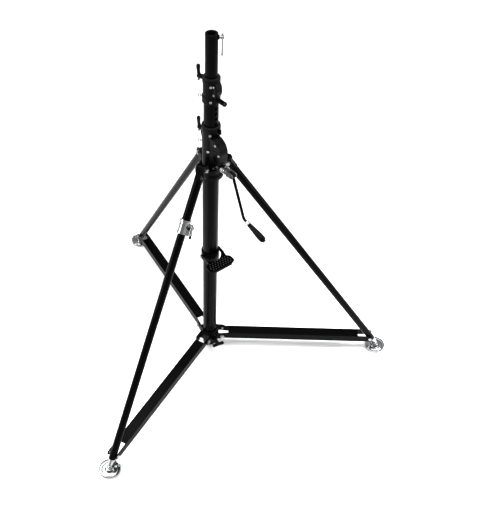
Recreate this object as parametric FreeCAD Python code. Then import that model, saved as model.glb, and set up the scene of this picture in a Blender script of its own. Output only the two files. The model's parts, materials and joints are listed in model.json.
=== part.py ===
import FreeCAD, Part
import math
import os

# Crank lighting stand, two risers, geared lower riser, folding three-leg base.
# Frame: millimetres, +Z up, column axis on Z, floor at z = 0, leg A along +X.
# The second local frame used below is the gear frame: x' points from the column
# to the gearbox (azimuth GEAR_AZ), y' is square to it, z' is up.

V = FreeCAD.Vector

# ---- driving dimensions -------------------------------------------------
TOP_Z = 1670.0                 # top rim, both risers down
GEAR_AZ = -48.0                # azimuth of gearbox and crank
PEDAL_AZ = -52.0
KNOB_AZ = -60.0                # azimuth of the base hub knob
LEVER_AZ = 152.0               # azimuth of the riser lock levers
LEG_AZ = {"a": 0.0, "b": -120.0, "c": 120.0}
RUN = 0.1                      # radial running fit
FIT = 0.08                     # radial gap of fixed fits

BASE_R, BASE_BORE_R = 33.0, 31.3          # base tube
BASE_Z0, BASE_Z1 = 584.0, 1098.0
LOW_R, LOW_BORE_R = 31.0, 29.4            # lower tube
LOW_Z0, LOW_Z1 = 22.0, 900.0
MID_R, MID_BORE_R = 28.3, 26.0            # middle riser
MID_Z0, MID_Z1 = 96.0, 1440.0
TOP_R, TOP_BORE_R = 23.0, 20.8            # top riser
TOP_Z0 = 392.0
SPIGOT_R, SPIGOT_DEPTH = 14.3, 84.0       # 28 mm stud socket
SCREW_Z = 1655.0                          # T-screw height

HOLE_PITCH, HOLE_W, HOLE_H = 23.0, 12.0, 15.0   # punched rack of the middle riser
TEETH = 6
SPROCKET_R = HOLE_PITCH * TEETH / (2.0 * math.pi)
SPROCKET_TIP = SPROCKET_R + 3.1
AXLE_X = MID_R - 1.1 + SPROCKET_R
AXLE_Z = 1167.0
WORM_MODULE, WHEEL_TEETH, WORM_STARTS = 2.0, 20, 2
WHEEL_R = WORM_MODULE * WHEEL_TEETH / 2.0
WORM_R = 9.0
WORM_LEAD = WORM_STARTS * math.pi * WORM_MODULE
WORM_Y = -13.0                             # worm wheel plane, beside the sprocket
CRANK_Z = AXLE_Z - WHEEL_R - WORM_R
HOUSING_Y0, HOUSING_Y1 = -24.5, 8.5
COVER_T, RIM_T = 3.2, 3.4                  # cover plate and its raised rim
ARC_X, ARC_Z, ARC_R = 34.0, 1203.0, 50.0   # large arc of the gearbox outline
COLLAR_R = 34.4
GEAR_Z0, GEAR_Z1 = 1100.0 + FIT, 1288.0

KNUCKLE_X = 142.0                         # crank arm hinge pin
ARM_TILT, ARM_LEN = 22.0, 185.0
GRIP_DROP, GRIP_LEN = 16.0, 88.0

UPPER_Z0, UPPER_Z1 = 1395.0, 1496.0       # upper collar
UPPER_R = 31.2

STRUT_X, STRUT_Z = 66.0, 1120.6           # strut hinge on the leg hub
FOOT_Z = 76.0                             # strut and brace pivot
FOOT_X = {"a": 759.0, "b": 774.0, "c": 759.0}
STRUT_R, STRUT_BORE_R = 16.0, 14.4
SLEEVE_R, SLEEVE_BORE_R = 17.2, 16.1      # outer tube of the levelling leg
LEVEL_AT = 234.0                          # levelling collar, distance from hinge
LEVEL_INNER = 56.0                         # upper end of its inner tube
BALL_Z, BALL_R = 24.0, 11.0
DISC_R = 46.0

BRACE_X, BRACE_Z = 60.0, 80.0             # brace hinge on the base hub
BRACE_HALF, BRACE_T = 23.0, 2.5
BRACE_UP, BRACE_DOWN = 18.5, 18.5
PEDAL_Z, PEDAL_HALF = 612.0, 43.6


# ---- helpers ------------------------------------------------------------
def cyl(r, z0, z1, x=0.0, y=0.0):
    return Part.makeCylinder(r, z1 - z0, V(x, y, z0))


def rod(r, p0, p1):
    d = V(*p1) - V(*p0)
    return Part.makeCylinder(r, d.Length, V(*p0), d)


def box(x0, x1, y0, y1, z0, z1):
    return Part.makeBox(x1 - x0, y1 - y0, z1 - z0, V(x0, y0, z0))


def ring(r1, r0, z0, z1):
    return cyl(r1, z0, z1).cut(cyl(r0, z0 - 1.0, z1 + 1.0))


def hexagon(across, p0, p1):
    d = V(*p1) - V(*p0)
    c = across / math.sqrt(3.0)
    pts = [V(c * math.cos(math.radians(60 * i)), c * math.sin(math.radians(60 * i)), 0)
           for i in range(7)]
    s = Part.Face(Part.makePolygon(pts)).extrude(V(0, 0, d.Length))
    s.Placement = FreeCAD.Placement(V(*p0), FreeCAD.Rotation(V(0, 0, 1), d))
    return s


def turned(shape, az):
    s = shape.copy()
    s.rotate(V(0, 0, 0), V(0, 0, 1), az)
    return s


def fuse(first, *rest):
    return first.multiFuse(list(rest)).removeSplitter()


def revolve(points, axis_x=0.0, y=0.0):
    pts = [V(axis_x + r, y, z) for r, z in points]
    face = Part.Face(Part.makePolygon(pts + [pts[0]]))
    return face.revolve(V(axis_x, y, 0), V(0, 0, 1), 360.0)


def prism(points, y0, y1):
    pts = [V(x, y0, z) for x, z in points]
    return Part.Face(Part.makePolygon(pts + [pts[0]])).extrude(V(0, y1 - y0, 0))


def soften(shape, size, pick):
    edges = [e for e in shape.Edges if pick(e)]
    return shape.makeFillet(size, edges)


def bent_rod(points, r, bend):
    a, b, c = [V(*p) for p in points]
    d0, d1 = (b - a).normalize(), (c - b).normalize()
    half = math.acos(max(-1.0, min(1.0, d0.dot(d1)))) / 2.0
    t = bend * math.tan(half)
    s, e = b - d0 * t, b + d1 * t
    mid_dir = (d1 - d0).normalize()
    centre = b + mid_dir * (bend / math.cos(half))
    m = centre - mid_dir * bend
    wire = Part.Wire([Part.makeLine(a, s), Part.Arc(s, m, e).toShape(), Part.makeLine(e, c)])
    circle = Part.Wire([Part.makeCircle(r, a, d0)])
    return wire.makePipeShell([circle], True, True)


def save(name, shape):
    if shape.ShapeType == "Compound" and len(shape.Solids) == 1:
        shape = shape.Solids[0]
    shape.exportStep("parts/" + name + ".step")


# ---- column tubes -------------------------------------------------------
def base_tube():
    return ring(BASE_R, BASE_BORE_R, BASE_Z0, BASE_Z1)


def lower_tube():
    return ring(LOW_R, LOW_BORE_R, LOW_Z0, LOW_Z1)


def base_cap():
    plug = cyl(LOW_BORE_R - FIT, LOW_Z0, LOW_Z0 + 22.0)
    plug = plug.cut(cyl(LOW_BORE_R - 4.0, LOW_Z0 + 1.0, LOW_Z0 + 30.0))
    foot = cyl(LOW_R, LOW_Z0 - 6.0, LOW_Z0 - FIT)
    neck = cyl(LOW_BORE_R - 1.0, LOW_Z0 - 1.0, LOW_Z0 + 1.0)
    return fuse(foot, neck, plug)


def leg_hub():
    body = ring(46.0, BASE_R + FIT, 1064.0, 1100.0)
    skirt = revolve([(BASE_R + FIT, 1052.0), (50.0, 1052.0), (50.0, 1066.0),
                     (46.0, 1078.0), (BASE_R + FIT, 1078.0)])
    parts = [skirt]
    for az in LEG_AZ.values():
        for side in (-1, 1):
            y0, y1 = sorted((side * 13.0, side * 19.0))
            lug = prism([(36.0, 1056.0), (64.0, 1076.0), (82.0, 1106.0), (84.0, 1124.0),
                         (78.0, 1136.0), (66.0, 1140.0), (52.0, 1137.0), (45.0, 1126.0),
                         (41.0, 1100.0), (36.0, 1100.0)], y0, y1)
            lug = lug.cut(cyl(39.2, 1000.0, 1200.0).cut(cyl(39.2, 1000.0, 1099.0)))
            lug = lug.cut(cyl(BASE_R + FIT, 1000.0, 1099.5))
            parts.append(turned(lug, az))
    hub = fuse(body, *parts)
    hub = hub.cut(cyl(BASE_R + FIT, 1000.0, 1101.0))
    for az in LEG_AZ.values():
        hub = hub.cut(turned(rod(5.0 + FIT, (STRUT_X, -30, STRUT_Z), (STRUT_X, 30, STRUT_Z)), az))
    return hub


def hub_bolts():
    bolts = []
    for az in LEG_AZ.values():
        shank = rod(5.0, (STRUT_X, -21.0, STRUT_Z), (STRUT_X, 24.0, STRUT_Z))
        head = hexagon(15.0, (STRUT_X, -25.5, STRUT_Z), (STRUT_X, -19.1, STRUT_Z))
        nut = hexagon(15.0, (STRUT_X, 19.1, STRUT_Z), (STRUT_X, 26.0, STRUT_Z))
        bolts.append(turned(fuse(shank, head, nut), az))
    return Part.makeCompound(bolts)


# ---- gearbox ------------------------------------------------------------
def housing_outline(grow):
    # a D: a large arc over the worm wheel, a smaller one round the axle, a flat foot
    pts = [(26.0, ARC_Z + ARC_R + grow)]
    for i in range(9):
        t = math.radians(90.0 - 90.0 * i / 8.0)
        pts.append((ARC_X + (ARC_R + grow) * math.cos(t), ARC_Z + (ARC_R + grow) * math.sin(t)))
    for i in range(1, 8):
        t = math.radians(-8.0 * i)
        r = 33.0 + grow
        pts.append((AXLE_X + r * math.cos(t), AXLE_Z + r * math.sin(t)))
    pts += [(66.0 + grow, 1136.0), (66.0 + grow, 1126.2 - grow), (26.0, 1126.2 - grow)]
    return pts


def gearbox_casting():
    collar = cyl(COLLAR_R, GEAR_Z0, GEAR_Z1)
    band = cyl(COLLAR_R + 2.5, GEAR_Z1 - 19.5, GEAR_Z1 - 2.0)
    foot = cyl(COLLAR_R + 1.2, GEAR_Z0, GEAR_Z0 + 8.0)
    shell = prism(housing_outline(3.4), HOUSING_Y0, HOUSING_Y1)
    boss = rod(10.0, (0, 0, 1262.0), (45.0, 0, 1262.0))
    gusset = prism([(30.0, 1267.0), (43.0, 1267.0), (43.0, 1250.0), (34.8, 1202.0),
                    (30.0, 1202.0)], -4.5, 4.5)
    boss = turned(fuse(boss, gusset), LEVER_AZ - GEAR_AZ)
    axle_boss = rod(12.0, (AXLE_X, HOUSING_Y1 - 1, AXLE_Z), (AXLE_X, HOUSING_Y1 + 5, AXLE_Z))
    neck = rod(11.2, (58.0, WORM_Y, CRANK_Z), (85.9, WORM_Y, CRANK_Z))
    lug = box(30.0, 47.0, 6.0, 11.0, 1264.0, 1284.0)
    pads = []
    for z, az in COLLAR_SCREWS:
        pads.append(turned(rod(7.5, (30, 0, z), (COLLAR_R + 1.6, 0, z)), az))
    body = fuse(collar, band, foot, shell, boss, axle_boss, neck, lug, *pads)
    body = body.cut(cyl(30.0, GEAR_Z0 - 1, 1263.0))
    body = body.cut(cyl(31.5, 1262.0, GEAR_Z1 + 1))
    pocket = prism(housing_outline(0.0), HOUSING_Y0 - 1, HOUSING_Y1 - 3.0)
    low = cyl(30.0, 1000.0, 1400.0)
    pocket = pocket.cut(cyl(COLLAR_R - 1.2, 1000.0, 1400.0)).fuse(
        box(20.0, COLLAR_R, -5.4, 5.4, AXLE_Z - 29.0, AXLE_Z + 29.0))
    body = body.cut(pocket.fuse(low.common(box(-40, 40, -40, 40, GEAR_Z0 - 1, 1262.5))))
    wheel_room = rod(WHEEL_R + 2.6, (AXLE_X, WORM_Y - 5.5, AXLE_Z), (AXLE_X, WORM_Y + 5.5, AXLE_Z))
    body = body.cut(wheel_room)
    body = body.cut(rod(7.0 + RUN, (AXLE_X, 0, AXLE_Z), (AXLE_X, HOUSING_Y1 + 2.5, AXLE_Z)))
    body = body.cut(rod(8.0, (50.0, WORM_Y, CRANK_Z), (90.0, WORM_Y, CRANK_Z)))
    screw = turned(rod(4.5, (0, 0, 1262.0), (60, 0, 1262.0)), LEVER_AZ - GEAR_AZ)
    body = body.cut(screw)
    for x, z, deep in COVER_SCREWS:
        body = body.cut(rod(2.6, (x, HOUSING_Y0 - 1, z), (x, HOUSING_Y0 + deep + 2.0, z)))
    for z, az in COLLAR_SCREWS:
        body = body.cut(turned(rod(3.1, (31.7, 0, z), (COLLAR_R + 3, 0, z)), az))
    return turned(body.removeSplitter(), GEAR_AZ)


# x, z and depth in the casting; the last one stays short of the worm
COVER_SCREWS = [(62.0, 1239.5, 8.0), (81.6, 1203.0, 8.0), (74.6, 1148.0, 8.0), (54.0, 1129.0, 1.8)]
COLLAR_SCREWS = [(1263.0, -46.0), (1188.0, -57.0)]                                  # z, turn


def gearbox_cover():
    back = HOUSING_Y0 - COVER_T
    plate = prism(housing_outline(3.4), back, HOUSING_Y0 - 0.05)
    rim = prism(housing_outline(3.4), back - RIM_T, back)
    rim = rim.cut(prism(housing_outline(-6.5), back - RIM_T - 1.0, back))
    boss = rod(12.0, (AXLE_X, back - 5.0, AXLE_Z), (AXLE_X, back + 0.2, AXLE_Z))
    ribs = [prism([(AXLE_X - 26.0, AXLE_Z + 2.0 + k * 13.0), (AXLE_X + 18.0, AXLE_Z + 14.0 + k * 13.0),
                   (AXLE_X + 18.0, AXLE_Z + 17.0 + k * 13.0), (AXLE_X - 26.0, AXLE_Z + 5.0 + k * 13.0)],
                  back - 1.6, back) for k in (1, 2, 3)]
    plate = fuse(plate, rim, boss, *ribs).cut(cyl(COLLAR_R + 3.2, 1000.0, 1400.0))
    plate = plate.cut(rod(7.0 + RUN, (AXLE_X, HOUSING_Y0 - 5.5, AXLE_Z), (AXLE_X, 0, AXLE_Z)))
    for x, z, deep in COVER_SCREWS:
        plate = plate.cut(rod(2.7, (x, back - RIM_T - 2, z), (x, 0, z)))
    return turned(plate, GEAR_AZ)


def gearbox_screws():
    out = []
    for x, z, deep in COVER_SCREWS:
        seat = HOUSING_Y0 - COVER_T - RIM_T - 0.05
        head = rod(4.6, (x, seat - 3.2, z), (x, seat, z))
        socket = hexagon(4.0, (x, seat - 4.2, z), (x, seat - 1.4, z))
        shank = rod(2.5, (x, seat - 0.5, z), (x, HOUSING_Y0 + deep, z))
        out.append(fuse(head, shank).cut(socket))
    for z, az in COLLAR_SCREWS:
        head = rod(5.4, (COLLAR_R + 1.7, 0, z), (COLLAR_R + 5.4, 0, z))
        socket = hexagon(5.0, (COLLAR_R + 3.2, 0, z), (COLLAR_R + 8.0, 0, z))
        shank = rod(3.0, (32.0, 0, z), (COLLAR_R + 2.5, 0, z))
        out.append(turned(fuse(head, shank).cut(socket), az))
    return turned(Part.makeCompound(out), GEAR_AZ)


def gearbox_bush():
    return revolve([(MID_R + RUN, 1263.2), (31.5 - FIT, 1263.2), (31.5 - FIT, GEAR_Z1 + FIT),
                    (36.5, GEAR_Z1 + FIT), (35.5, GEAR_Z1 + 4.0), (MID_R + RUN, GEAR_Z1 + 4.0)])


def eye_ring(radius, z, az):
    stem = rod(2.2, (radius, 0, z), (radius + 5.0, 0, z))
    loop = Part.makeTorus(5.2, 1.7, V(radius + 9.4, 0, z), V(0, 1, 0))
    return turned(fuse(stem, loop), az)


def crank_boss():
    x0 = 85.9 + FIT
    body = rod(17.2, (x0, WORM_Y, CRANK_Z), (x0 + 13.0, WORM_Y, CRANK_Z))
    nose = rod(15.2, (x0 + 12.0, WORM_Y, CRANK_Z), (x0 + 18.0, WORM_Y, CRANK_Z))
    lip = rod(16.2, (x0 + 18.0, WORM_Y, CRANK_Z), (x0 + 20.5, WORM_Y, CRANK_Z))
    pilot = rod(8.0 - FIT, (x0 - 3.0, WORM_Y, CRANK_Z), (x0 + 1, WORM_Y, CRANK_Z))
    body = fuse(body, nose, lip, pilot)
    body = body.cut(rod(6.0 + RUN, (x0 - 9, WORM_Y, CRANK_Z), (x0 + 30, WORM_Y, CRANK_Z)))
    return turned(body, GEAR_AZ)


def sprocket():
    hub = rod(11.0, (AXLE_X, -8.6, AXLE_Z), (AXLE_X, 4.8, AXLE_Z))
    disc = rod(SPROCKET_R - 3.4, (AXLE_X, -4.0, AXLE_Z), (AXLE_X, 4.0, AXLE_Z))
    teeth = []
    for i in range(TEETH):
        tip = SPROCKET_TIP
        root = SPROCKET_R - 6.0
        tooth = Part.Face(Part.makePolygon([
            V(-root, -1.4, -4.4), V(-tip, -1.4, -2.2), V(-tip, -1.4, 2.2), V(-root, -1.4, 4.4),
            V(-root, -1.4, -4.4)])).extrude(V(0, 5.2, 0))
        tooth.rotate(V(0, 0, 0), V(0, 1, 0), 360.0 * i / TEETH)
        tooth.translate(V(AXLE_X, 0, AXLE_Z))
        teeth.append(tooth)
    body = fuse(hub, disc, *teeth)
    body = body.cut(rod(7.0 + 0.05, (AXLE_X, -40, AXLE_Z), (AXLE_X, 40, AXLE_Z)))
    return turned(body, GEAR_AZ)


def worm_wheel():
    tip, root = WHEEL_R + 1.7, WHEEL_R - 2.3
    disc = rod(root, (AXLE_X, WORM_Y - 4.0, AXLE_Z), (AXLE_X, WORM_Y + 4.0, AXLE_Z))
    skew = math.degrees(math.atan(WORM_LEAD / (2.0 * math.pi * WORM_R)))
    teeth = []
    for i in range(WHEEL_TEETH):
        tooth = Part.Face(Part.makePolygon([
            V(-1.6, -3.6, -root + 1.5), V(-0.7, -3.6, -tip), V(0.7, -3.6, -tip),
            V(1.6, -3.6, -root + 1.5), V(-1.6, -3.6, -root + 1.5)])).extrude(V(0, 7.2, 0))
        tooth.rotate(V(0, 0, 0), V(0, 0, 1), skew)
        tooth.rotate(V(0, 0, 0), V(0, 1, 0), 360.0 * i / WHEEL_TEETH)
        tooth.translate(V(AXLE_X, WORM_Y, AXLE_Z))
        teeth.append(tooth)
    body = fuse(disc, *teeth)
    body = body.cut(rod(7.0 + 0.05, (AXLE_X, -40, AXLE_Z), (AXLE_X, 40, AXLE_Z)))
    return turned(body, GEAR_AZ)


def sprocket_shaft():
    shaft = rod(7.0, (AXLE_X, HOUSING_Y0 - 5.0, AXLE_Z), (AXLE_X, HOUSING_Y1 + 2.0, AXLE_Z))
    return turned(shaft, GEAR_AZ)


def worm_shaft():
    x0, x1 = 35.0, 64.0
    shaft = rod(6.0, (x0, WORM_Y, CRANK_Z), (KNUCKLE_X - 29.2, WORM_Y, CRANK_Z))
    core = rod(WORM_R - 2.2, (x0, WORM_Y, CRANK_Z), (x1, WORM_Y, CRANK_Z))
    threads = []
    length = x1 - x0 - 4.0
    for start in range(WORM_STARTS):
        helix = Part.makeHelix(WORM_LEAD, length, WORM_R)
        prof = Part.Wire(Part.makePolygon([
            V(WORM_R - 2.6, 0, -1.5), V(WORM_R + 1.7, 0, -0.65),
            V(WORM_R + 1.7, 0, 0.65), V(WORM_R - 2.6, 0, 1.5), V(WORM_R - 2.6, 0, -1.5)]))
        thread = Part.Wire(helix).makePipeShell([prof], True, True)
        thread.rotate(V(0, 0, 0), V(0, 0, 1), 360.0 * start / WORM_STARTS)
        threads.append(thread)
    # the thread is built about Z and laid over onto the shaft axis; its phase
    # puts a thread half a pitch beside the wheel tooth that points straight down
    lay = FreeCAD.Rotation(V(0, 0, 1), V(1, 0, 0))
    want = AXLE_X + WORM_LEAD / WORM_STARTS / 2.0 - (x0 + 2.0)
    # a point at helix angle t sits at x = lead*t/360; after laying over, +X of the
    # helix frame points to -Z, so the top of the worm is helix angle 180
    spin = 180.0 - 360.0 * want / WORM_LEAD
    placed = []
    for thread in threads:
        thread.rotate(V(0, 0, 0), V(0, 0, 1), spin)
        thread.Placement = FreeCAD.Placement(V(x0 + 2.0, WORM_Y, CRANK_Z), lay).multiply(
            thread.Placement)
        placed.append(thread)
    return turned(fuse(shaft, core, *placed), GEAR_AZ)


# ---- crank --------------------------------------------------------------
def crank_yoke():
    y = WORM_Y
    disc = rod(13.5, (106.9, y, CRANK_Z), (117.0, y, CRANK_Z))
    web = box(116.5, 124.0, y - 13.0, y + 13.0, CRANK_Z - 11.0, CRANK_Z + 11.0)
    arms = []
    for side in (-1, 1):
        y0, y1 = sorted((y + side * 7.6, y + side * 12.6))
        plate = box(120.0, KNUCKLE_X, y0, y1, CRANK_Z - 10.0, CRANK_Z + 10.0)
        end = rod(10.0, (KNUCKLE_X, y0, CRANK_Z), (KNUCKLE_X, y1, CRANK_Z))
        arms += [plate, end]
    body = fuse(disc, web, *arms)
    body = body.cut(rod(6.0 + 0.05, (90, y, CRANK_Z), (KNUCKLE_X - 27.9, y, CRANK_Z)))
    pin = rod(4.0, (KNUCKLE_X, y - 15.0, CRANK_Z), (KNUCKLE_X, y + 15.0, CRANK_Z))
    heads = rod(6.2, (KNUCKLE_X, y - 15.6, CRANK_Z), (KNUCKLE_X, y - 12.5, CRANK_Z))
    nut = rod(6.2, (KNUCKLE_X, y + 12.5, CRANK_Z), (KNUCKLE_X, y + 15.6, CRANK_Z))
    return turned(fuse(body, pin, heads, nut), GEAR_AZ)


def arm_points():
    y = WORM_Y
    t, g = math.radians(ARM_TILT), math.radians(GRIP_DROP)
    a = (KNUCKLE_X + 9.0 * math.sin(t), y, CRANK_Z - 9.0 * math.cos(t))
    b = (KNUCKLE_X + ARM_LEN * math.sin(t), y, CRANK_Z - ARM_LEN * math.cos(t))
    def out(d):
        return (b[0] + d * math.cos(g), y, b[2] - d * math.sin(g))
    return a, b, out


def crank_arm():
    a, b, out = arm_points()
    y = WORM_Y
    eye = rod(9.2, (KNUCKLE_X, y - 7.2, CRANK_Z), (KNUCKLE_X, y + 7.2, CRANK_Z))
    bar = bent_rod([a, b, out(32.0)], 5.5, 16.0)
    spindle = rod(4.0, out(31.5), out(32.0 + GRIP_LEN + 2.0))
    end = rod(6.5, out(32.0 + GRIP_LEN + 0.6), out(32.0 + GRIP_LEN + 3.6))
    body = fuse(eye, bar, spindle, end)
    body = body.cut(rod(4.0 + RUN, (KNUCKLE_X, y - 20, CRANK_Z), (KNUCKLE_X, y + 20, CRANK_Z)))
    return turned(body, GEAR_AZ)


def crank_ferrule():
    out = arm_points()[2]
    tube = rod(8.6, out(17.0), out(31.6)).cut(rod(5.5 + 0.06, out(10.0), out(40.0)))
    return turned(tube, GEAR_AZ)


def crank_grip():
    b, out = arm_points()[1:]
    prof = [(4.1, 0.0), (8.2, 0.0), (9.2, 3.0), (9.6, 14.0), (10.6, 30.0), (12.0, 52.0),
            (13.2, 72.0), (13.0, 81.0), (11.2, 86.0), (8.4, GRIP_LEN), (4.1, GRIP_LEN)]
    grip = revolve(prof)
    d = V(*out(1.0)) - V(*b)
    grip.Placement = FreeCAD.Placement(V(*out(32.3)), FreeCAD.Rotation(V(0, 0, 1), d))
    return turned(grip, GEAR_AZ)


# ---- riser lock levers --------------------------------------------------
def lock_lever(z, screw_in):
    # a wing lever: hub, long wing up and out, short wing down, screw inwards
    screw = rod(4.2, (screw_in, 0, z), (49.0, 0, z))
    hub = rod(8.6, (45.6, 0, z), (56.0, 0, z))
    lean = [(46.0, z + 4.0), (55.8, z + 2.0), (66.0, z + 38.0), (64.5, z + 44.5),
            (57.0, z + 45.5), (53.5, z + 40.0)]
    wing = soften(prism(lean, -5.5, 5.5), 2.0, lambda e: e.Length > 30.0)
    stub = prism([(47.0, z - 3.0), (55.8, z - 3.0), (58.5, z - 17.0), (56.0, z - 20.5),
                  (50.5, z - 18.0)], -4.6, 4.6)
    return turned(fuse(screw, hub, wing, stub), LEVER_AZ)


# ---- risers -------------------------------------------------------------
def mid_riser():
    tube = ring(MID_R, MID_BORE_R, MID_Z0, MID_Z1)
    cutters = []
    n = int((AXLE_Z - 150.0) // HOLE_PITCH)
    for i in range(-n, 10):
        z = AXLE_Z + i * HOLE_PITCH
        straight = (HOLE_H - HOLE_W) / 2.0
        slot = box(20.0, 34.0, -HOLE_W / 2, HOLE_W / 2, z - straight, z + straight)
        for side in (-1, 1):
            slot = slot.fuse(rod(HOLE_W / 2, (20, 0, z + side * straight),
                                 (34, 0, z + side * straight)))
        cutters.append(slot.removeSplitter())
    return turned(tube.cut(Part.makeCompound(cutters)), GEAR_AZ)


def mid_foot_bush():
    z = MID_Z0
    outer = revolve([(MID_BORE_R - 2.0, z - 4.0), (LOW_BORE_R - RUN, z - 4.0),
                     (LOW_BORE_R - RUN, z - FIT), (MID_BORE_R - FIT, z - FIT),
                     (MID_BORE_R - FIT, z + 20.0), (MID_BORE_R - 2.0, z + 20.0)])
    return outer


def upper_collar():
    z0, z1 = UPPER_Z0, UPPER_Z1
    body = revolve([(20.0, z0), (33.0, z0), (34.2, z0 + 2.0), (34.2, z0 + 27.0),
                    (33.0, z0 + 29.5), (UPPER_R, z0 + 31.0), (UPPER_R, z1 - 17.0),
                    (33.4, z1 - 14.0), (33.4, z1), (20.0, z1)])
    pts = [(20.0, 1490.0)]
    for i in range(9):
        t = math.radians(90.0 - 22.5 * i)
        squash = 34.0 if i < 5 else 30.0
        pts.append((28.0 + 17.0 * math.cos(t), 1455.0 + squash * math.sin(t)))
    pts.append((20.0, 1425.0))
    house = prism(pts, -14.0, 14.0)
    house = soften(house, 1.6, lambda e: abs(e.Curve.Direction.y) < 0.5
                   and e.BoundBox.XMin > 27.0)
    rim = prism([(20.0, 1484.0), (34.0, 1484.0), (42.0, 1466.0), (43.4, 1448.0),
                 (39.0, 1432.0), (20.0, 1431.0)], -16.4, -13.0)
    block = rod(9.0, (28.0, 8.0, 1409.0), (52.0, 8.0, 1409.0))
    boss = turned(rod(9.0, (0, 0, 1486.0), (45.0, 0, 1486.0)), LEVER_AZ - GEAR_AZ)
    body = fuse(body, house, rim, block, boss)
    body = body.cut(cyl(MID_R + FIT, z0 - 1, MID_Z1 + FIT))
    body = body.cut(cyl(26.9, MID_Z1 - 1, z1 + 1))
    body = body.cut(rod(4.4, (20, 8.0, 1409.0), (60, 8.0, 1409.0)))
    body = body.cut(turned(rod(4.5, (0, 0, 1486.0), (60, 0, 1486.0)), LEVER_AZ - GEAR_AZ))
    for x, z, r in UPPER_SCREWS:
        body = body.cut(rod(2.6, (x, -30, z), (x, -8, z)))
    return turned(body, GEAR_AZ)


UPPER_SCREWS = [(32.4, 1475.0, 4.2), (34.6, 1442.0, 4.2)]


def upper_screws():
    out = []
    for x, z, r in UPPER_SCREWS:
        head = rod(r, (x, -19.6, z), (x, -16.5, z))
        socket = hexagon(4.0, (x, -20.6, z), (x, -17.8, z))
        out.append(fuse(head, rod(2.4, (x, -17, z), (x, -13.8, z))).cut(socket))
    for z in (1473.0, 1411.0):
        r0 = 34.3 if z < 1430 else UPPER_R + 0.1
        head = rod(5.0, (r0 + 0.3, 0, z), (r0 + 4.0, 0, z))
        socket = hexagon(4.5, (r0 + 2.0, 0, z), (r0 + 6.0, 0, z))
        out.append(turned(head.cut(socket), -44.0))
    return turned(Part.makeCompound(out), GEAR_AZ)


def upper_bush():
    z1 = UPPER_Z1
    return revolve([(TOP_R + RUN, 1452.0), (26.9 - FIT, 1452.0), (26.9 - FIT, z1 + FIT),
                    (31.5, z1 + FIT), (30.5, z1 + 4.0), (TOP_R + RUN, z1 + 4.0)])


def plunger_knob():
    y, z = 8.0, 1409.0
    pin = rod(4.3, (31.0, y, z), (56.0, y, z))
    stem = rod(4.3, (52.0, y, z), (54.0, y, z))
    head = rod(8.4, (52.5, y, z), (64.0, y, z))
    head = head.fuse(rod(9.6, (60.0, y, z), (66.0, y, z)))
    return turned(fuse(pin, stem, head), GEAR_AZ)


def top_riser():
    tube = ring(TOP_R, TOP_BORE_R, TOP_Z0, TOP_Z - 2.2)
    nut = rod(8.5, (21.8, 0, SCREW_Z), (27.0, 0, SCREW_Z)).cut(cyl(TOP_BORE_R, 1600, 1700))
    body = fuse(tube, nut)
    return body.cut(rod(5.4, (15, 0, SCREW_Z), (40, 0, SCREW_Z)))


def top_foot_bush():
    z = TOP_Z0
    bush = revolve([(TOP_BORE_R - 2.0, z - 24.0), (MID_BORE_R - RUN, z - 24.0),
                    (MID_BORE_R - RUN, z - FIT), (TOP_BORE_R - FIT, z - FIT),
                    (TOP_BORE_R - FIT, z + 16.0), (TOP_BORE_R - 2.0, z + 16.0)])
    key = turned(box(TOP_R - 0.6, 40.0, -7.0, 7.0, z - 30.0, z), GEAR_AZ)
    return bush.cut(key)


def top_socket():
    z = TOP_Z
    body = revolve([(SPIGOT_R, z - SPIGOT_DEPTH), (TOP_BORE_R - FIT, z - SPIGOT_DEPTH),
                    (TOP_BORE_R - FIT, z - 2.2), (TOP_R, z - 2.1), (TOP_R, z - 0.8),
                    (TOP_R - 0.8, z), (SPIGOT_R + 1.0, z), (SPIGOT_R, z - 1.0)])
    seat = cyl(TOP_BORE_R - FIT, z - SPIGOT_DEPTH - 5.0, z - SPIGOT_DEPTH)
    body = fuse(body, seat)
    return body.cut(rod(5.4, (10, 0, SCREW_Z), (40, 0, SCREW_Z)))


def socket_screw():
    shank = rod(5.0, (14.9, 0, SCREW_Z), (32.0, 0, SCREW_Z))
    head = rod(6.8, (30.5, 0, SCREW_Z), (43.5, 0, SCREW_Z))
    head = soften(head, 1.0, lambda e: e.BoundBox.XMin > 43.0 and e.Length > 20.0)
    hole = cyl(2.5 + RUN, SCREW_Z - 20, SCREW_Z + 20, 37.5)
    return fuse(shank, head).cut(hole)


def tommy_bar():
    top, low = SCREW_Z + 11.2, 1587.0
    bar = cyl(2.5, low, top, 37.5)
    return fuse(bar, Part.makeSphere(4.0, V(37.5, 0, top)), Part.makeSphere(4.0, V(37.5, 0, low)))


# ---- legs ---------------------------------------------------------------
def leg_line(leg):
    t, p = V(STRUT_X, 0, STRUT_Z), V(FOOT_X[leg], 0, FOOT_Z)
    d = p - t
    length = d.Length
    return t, d.normalize(), length


def at(leg, dist):
    t, d, length = leg_line(leg)
    p = t + d * dist
    return (p.x, p.y, p.z)


def strut_head(leg, r):
    # the tube end is pressed flat to a tongue with a round eye
    t, d, length = leg_line(leg)
    eye = rod(15.5, (STRUT_X, -12.4, STRUT_Z), (STRUT_X, 12.4, STRUT_Z))
    neck = Part.makeBox(29.0, 24.8, 46.0, V(-14.5, -12.4, 0))
    neck.Placement = FreeCAD.Placement(t, FreeCAD.Rotation(V(0, 0, 1), d))
    plug = rod(r, at(leg, 40.0), at(leg, 46.0))
    return [eye, neck, plug]


def strut_plain(leg):
    length = leg_line(leg)[2]
    outer = rod(STRUT_R, at(leg, 44.0), at(leg, length + 20.0))
    bore = rod(STRUT_BORE_R, at(leg, 50.0), at(leg, length + 30.0))
    body = fuse(outer.cut(bore), *strut_head(leg, STRUT_R))
    body = body.cut(rod(5.0 + 0.35, (STRUT_X, -20, STRUT_Z), (STRUT_X, 20, STRUT_Z)))
    return turned(body, LEG_AZ[leg])


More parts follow.
